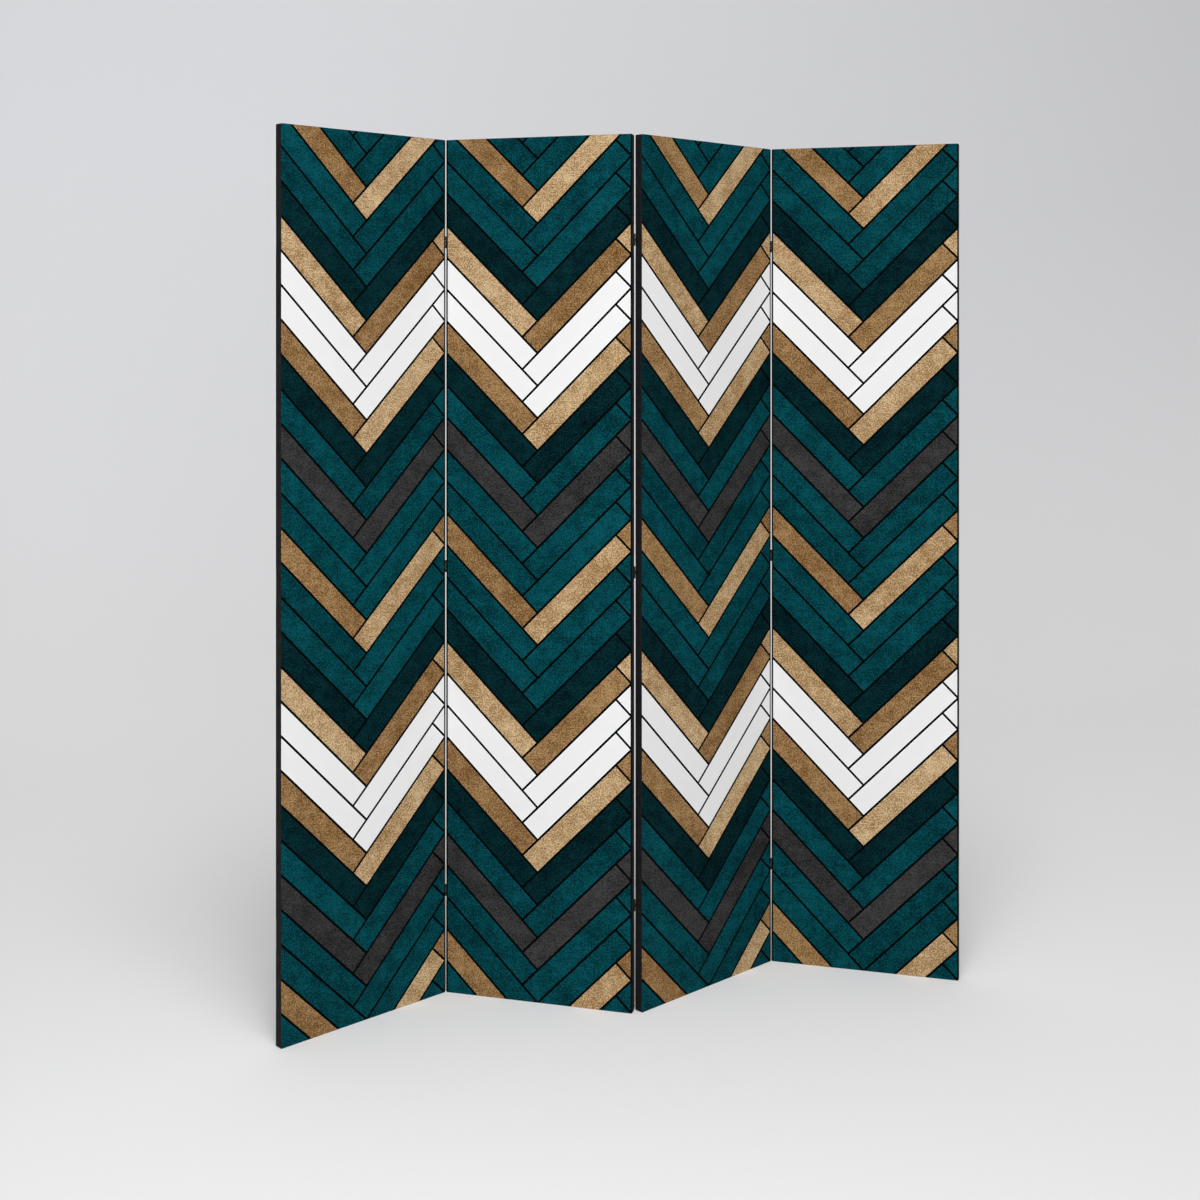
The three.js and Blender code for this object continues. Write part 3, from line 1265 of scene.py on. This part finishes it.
@dataclass
class Hinge:
    """A butt hinge: two leaves curled round a pin, each held by two screws.

    Attributes:
        seam: the numbers of the two panels that it joins.
        place: "bottom", "middle" or "top".
        on_back: whether its pin is on the panels' back faces.
        turns: the turns of the left and right panel about Z, in radians.
        sheet: how thick the leaves are.
        flat_middle: how far from the seam the middle of a leaf's flat part is.
        curl: how far round the pin a leaf goes.
    """

    seam: str
    place: str
    on_back: bool
    turns: tuple[float, float]
    height: float = 22 * MM
    leaf_width: float = 13 * MM
    sheet: float = 0.5 * MM
    flat_middle: float = 0.8 * MM
    curl_radius: float = 0.9 * MM
    flat_start: float = 1.3 * MM
    end_gap: float = 0.3 * MM
    corner: float = 1.6 * MM
    curl: float = math.radians(285)
    softened: float = 0.08 * MM
    screw_from_pin: float = 7.15 * MM
    screw_spacing: float = 12 * MM
    pin_radius: float = 0.5 * MM
    pin_reach: float = 11.15 * MM
    rivet_radius: float = 0.9 * MM
    rivet_height: float = 0.4 * MM
    pin_sides: int = 24
    knuckles: int = 3
    corner_steps: int = 4
    flat_steps: int = 6
    bend_steps: int = 3
    curl_steps: int = 22
    knuckle_steps: int = 3
    outer_steps: int = 4
    dome_steps: int = 5
    bevel_steps: int = 2
    screw: Screw = Screw()

    def __post_init__(self) -> None:
        """Reads the pin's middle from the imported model."""
        low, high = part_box(f"{self.name}_pin")
        self.middle = np.array((low + high) / 2)

    @property
    def name(self) -> str:
        """The start of the names of the hinge's CAD nodes and pieces."""
        return f"hinge_{self.seam}_{self.place}"

    @property
    def knuckle(self) -> float:
        """How high a knuckle is."""
        return (self.height - (self.knuckles - 1) * self.end_gap) / self.knuckles

    def build(self) -> None:
        """Makes both leaves with their screws, and the pin."""
        for leaf in Leaf:
            self._leaf(leaf)
        self._pin()
        LOG.info("%s: two leaves, four screws and a pin", self.name)

    def _body(self, leaf: Leaf) -> str:
        """The panel that carries a leaf: the left one has the outer knuckles."""
        return f"panel_{self.seam[leaf.value - 1]}"

    def _settled(self, points: np.ndarray, leaf: Leaf) -> np.ndarray:
        """Turns points about the pin into the screen, for the leaf that they belong to.

        A leaf is laid on its edge by half turns, which change the signs of two of the axes or of
        none, and then turned with its panel.

        Args:
            points: any array of points about the pin.
            leaf: the leaf that they go with.

        Returns:
            The points in the screen.
        """
        across = -1 if leaf is Leaf.OUTER else 1
        deep = -1 if self.on_back else 1
        laid = points * np.array([across, deep, across * deep])
        turn = self.turns[leaf.value - 1]
        upright = laid + np.array([0.0, 0.0, self.middle[2]])
        return Standing(self.middle[0], self.middle[1], turn).world(upright)

    def _path(self) -> np.ndarray:
        """The middle of the leaf's sheet in plan, from its free edge to the end of its curl.

        It runs straight beside the pin, eases outwards to the curl's radius, and follows a circle
        about the pin.

        Returns:
            The path's points, rows by 2.
        """
        end, inner = self.leaf_width, self.leaf_width - self.corner
        rounded = np.linspace(end, inner, self.corner_steps + 1)
        rest = np.linspace(inner, self.flat_start, self.flat_steps + 1)[1:]
        straight = np.concatenate([rounded, rest])
        flat = np.stack([np.full_like(straight, self.flat_middle), straight], -1)
        share = np.linspace(0, 1, self.bend_steps + 1)[1:-1]
        bend = self.flat_middle + (self.curl_radius - self.flat_middle) * share**2
        eased_in = np.stack([bend, self.flat_start * (1 - share)], -1)
        turn = -np.linspace(0, self.curl, self.curl_steps + 1)
        curl = self.curl_radius * np.stack([np.cos(turn), np.sin(turn)], -1)
        return np.concatenate([flat, eased_in, curl])

    def _heights(self) -> np.ndarray:
        """The grid's levels up the leaf, with one on each side of every gap between knuckles.

        Returns:
            The levels, from the bottom up.
        """
        top, inner = self.height / 2, self.knuckle / 2
        middle = np.linspace(0, inner, self.knuckle_steps + 1)
        outer = np.linspace(inner + self.end_gap, top - self.corner, self.outer_steps + 1)
        rounded = np.linspace(top - self.corner, top, self.corner_steps + 1)[1:]
        upper = np.concatenate([middle, outer, rounded])
        return np.concatenate([-upper[:0:-1], upper])

    def _leaf(self, leaf: Leaf) -> None:
        """Makes a leaf from one sheet that is cut out between its knuckles, and its screws.

        Args:
            leaf: which of the two it is.
        """
        path, heights = self._path(), self._heights()
        x, y, z = np.broadcast_arrays(path[:, :1], path[:, 1:], heights)
        y, z = self._rounded(y, z)
        level, half = np.abs((heights[:-1] + heights[1:]) / 2), self.knuckle / 2
        own = level < half if leaf is Leaf.MIDDLE else level > half + self.end_gap
        before_curl = path[1:, 1] >= self.flat_start - SMALLEST_GAP
        plate = before_curl & (path[1:, 0] <= self.flat_middle + SMALLEST_GAP)
        kept = plate[:, None] | own[None]
        points = self._settled(np.stack([x, y, z], -1), leaf)
        name = f"{self.name}_plate_{leaf.value}"
        piece = sew(name, [Patch(points, kept=kept)], [BLACK_LACQUER])
        thicken(piece, self.sheet, 0.0)
        bevel = piece.modifiers.new("softened_edges", "BEVEL")
        bevel.width = self.softened
        bevel.segments = self.bevel_steps
        bevel.limit_method = "ANGLE"
        bevel.harden_normals = True
        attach(piece, self._body(leaf))
        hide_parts(f"{self.name}_leaf_{leaf.value}")
        self._screws(leaf)

    def _rounded(self, y: np.ndarray, z: np.ndarray) -> tuple[np.ndarray, np.ndarray]:
        """Rounds the leaf's two free corners, each a quarter of a square drawn onto a disc.

        Args:
            y: how far the points are from the pin.
            z: their heights.

        Returns:
            The moved distances and heights.
        """
        a = y - (self.leaf_width - self.corner)
        b = np.abs(z) - (self.height / 2 - self.corner)
        nearer = np.where((a > 0) & (b > 0), 1 - to_disc(a, b), 0.0)
        return y - a * nearer, z - np.sign(z) * b * nearer

    def _screws(self, leaf: Leaf) -> None:
        """Makes a leaf's two screws as one piece.

        Args:
            leaf: the leaf that they hold.
        """
        seat = self.flat_middle - self.sheet / 2
        patches = [
            Patch(self._settled(grid, leaf))
            for level in (-self.screw_spacing / 2, self.screw_spacing / 2)
            for grid in self.screw.patches((seat, self.screw_from_pin, level))
        ]
        piece = sew(f"{self.name}_screws_{leaf.value}", patches, [BLACK_LACQUER])
        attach(piece, self._body(leaf))

    def _pin(self) -> None:
        """Makes the pin: a wire with a riveted, domed head at each end.

        It is turned about Z from a section. The head's section is a quarter of an ellipse.
        """
        turn = np.linspace(0, math.pi / 2, self.dome_steps + 1)
        dome_r = self.rivet_radius * np.sin(turn)
        dome_z = self.pin_reach + self.rivet_height * np.cos(turn)
        radius = np.concatenate([dome_r, [self.pin_radius], [self.pin_radius], dome_r[::-1]])
        level = np.concatenate([dome_z, [self.pin_reach], [-self.pin_reach], -dome_z[::-1]])
        angle = np.linspace(0, 2 * math.pi, self.pin_sides + 1)
        x, y = radius[:, None] * np.cos(angle), radius[:, None] * np.sin(angle)
        points = np.stack(np.broadcast_arrays(x, y, level[:, None]), axis=-1) + self.middle
        piece = sew(f"{self.name}_wire", [Patch(points[:, ::-1])], [PIN_STEEL])
        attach(piece, self._body(Leaf.OUTER))
        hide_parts(f"{self.name}_pin")


# ------------------------------------------------------------------ studio


@dataclass(frozen=True)
class Lamp:
    """A lamp that is aimed at the middle of the screen.

    Attributes:
        name: its name.
        kind: "SUN" or "AREA".
        power: its strength.
        spread: how wide it is: an angle in radians for a sun, and a side in metres for an area.
        place: where it hangs.
    """

    name: str
    kind: str
    power: float
    spread: float
    place: tuple[float, float, float]
    aim: tuple[float, float, float] = (0.0, 0.0, 0.8)

    def hang(self) -> None:
        """Makes the lamp, turned so that its own -z points at its aim."""
        light = bpy.data.lights.new(self.name, self.kind)
        light.energy = self.power
        setattr(light, "angle" if self.kind == "SUN" else "size", self.spread)
        x, y, z = np.array(self.aim) - np.array(self.place)
        holder = bpy.data.objects.new(self.name, light)
        holder.location = self.place
        holder.rotation_euler = (
            math.atan2(math.hypot(x, y), -z),
            0.0,
            math.atan2(y, x) - math.pi / 2,
        )
        bpy.context.scene.collection.objects.link(holder)


@dataclass
class Studio:
    """The floor and backdrop, the soft lights, and the camera.

    Attributes:
        shift: how far the lens is shifted, as a share of the picture's width.
        cove: the radius of the backdrop's turn from the floor up to its wall.
        surrounding: how bright the surrounding is as a light.
        seen_surrounding: how bright it is where it is seen.
    """

    camera_place: tuple[float, float, float] = (-0.78774, -3.01515, 1.23183)
    camera_yaw: float = math.radians(-13.8374)
    lens: float = 49.83
    sensor: float = 36.0
    shift: float = -0.2199
    wall: float = 3.7
    cove: float = 1.9
    cove_steps: int = 24
    reach: float = 9.0
    top: float = 6.0
    surrounding: float = 0.265
    seen_surrounding: float = 0.66
    lamps: tuple[Lamp, ...] = (
        Lamp("light_wide", "SUN", 0.8, math.radians(45), (-3.7, -17.7, 38.0)),
        Lamp("light_near", "AREA", 23.0, 1.2, (-0.75, -2.35, 1.45)),
        Lamp("light_above", "AREA", 42.0, 1.6, (-0.2, -2.0, 4.6)),
    )

    def build(self) -> None:
        """Makes all of the studio."""
        self._backdrop()
        self._surrounding()
        for lamp in self.lamps:
            lamp.hang()
        self._camera()
        LOG.info("studio: backdrop, lights and camera")

    def _backdrop(self) -> None:
        """One sheet of paper: a floor that turns up into a wall along a quarter circle."""
        turn = np.linspace(0, math.pi / 2, self.cove_steps + 1)
        bend = self.wall - self.cove + self.cove * np.sin(turn)
        y = np.concatenate([[-self.reach], bend, [self.wall]])
        z = np.concatenate([[0.0], self.cove - self.cove * np.cos(turn), [self.top]])
        x = np.array([-self.reach, self.reach])
        points = np.stack(np.broadcast_arrays(x, y[:, None], z[:, None]), axis=-1)
        sew("backdrop", [Patch(points)], [StudioPaperAndPaintedLight()])

    def _surrounding(self) -> None:
        """A white surrounding, which is brighter where it is seen than as a light."""
        world = bpy.data.worlds.new("surrounding")
        tree = NodeTree(world)
        white = linear((255, 255, 255))
        light, seen = (
            tree.node("ShaderNodeBackground", inputs={"Color": white, "Strength": strength})
            for strength in (self.surrounding, self.seen_surrounding)
        )
        inputs = {0: tree.seen_ray(), 1: light.outputs[0], 2: seen.outputs[0]}
        both = tree.node("ShaderNodeMixShader", inputs=inputs)
        tree.node("ShaderNodeOutputWorld", inputs={"Surface": both.outputs[0]})
        bpy.context.scene.world = world

    def _camera(self) -> None:
        """A level camera whose lens is shifted down."""
        lens = bpy.data.cameras.new("camera")
        lens.lens = self.lens
        lens.sensor_width = self.sensor
        lens.shift_y = self.shift
        camera = bpy.data.objects.new("camera", lens)
        bpy.context.scene.collection.objects.link(camera)
        camera.location = self.camera_place
        camera.rotation_euler = (math.pi / 2, 0.0, self.camera_yaw)
        bpy.context.scene.camera = camera
        bpy.context.scene.view_settings.view_transform = "Standard"


# ------------------------------------------------------------------ the whole screen


@dataclass
class FoldingScreen:
    """Four panels in a zigzag, and three hinges on each of the seams between them."""

    fold: float = math.radians(60)
    seams: tuple[tuple[str, bool], ...] = (("12", False), ("23", True), ("34", False))

    def turn(self, number: int) -> float:
        """A panel's turn about Z, alternately half the fold to one side and to the other."""
        return self.fold / 2 if number % 2 else -self.fold / 2

    def build(self) -> None:
        """Makes the panels and then the hinges."""
        for number in range(1, len(self.seams) + 2):
            Panel(number, self.turn(number)).build()
        for seam, on_back in self.seams:
            turns = (self.turn(int(seam[0])), self.turn(int(seam[1])))
            for place in HINGE_PLACES:
                Hinge(seam, place, on_back, turns).build()


def main() -> None:
    """Builds the screen and the studio."""
    logging.basicConfig(level=logging.INFO, format="%(message)s")
    FoldingScreen().build()
    Studio().build()


if __name__ == "__main__":
    main()
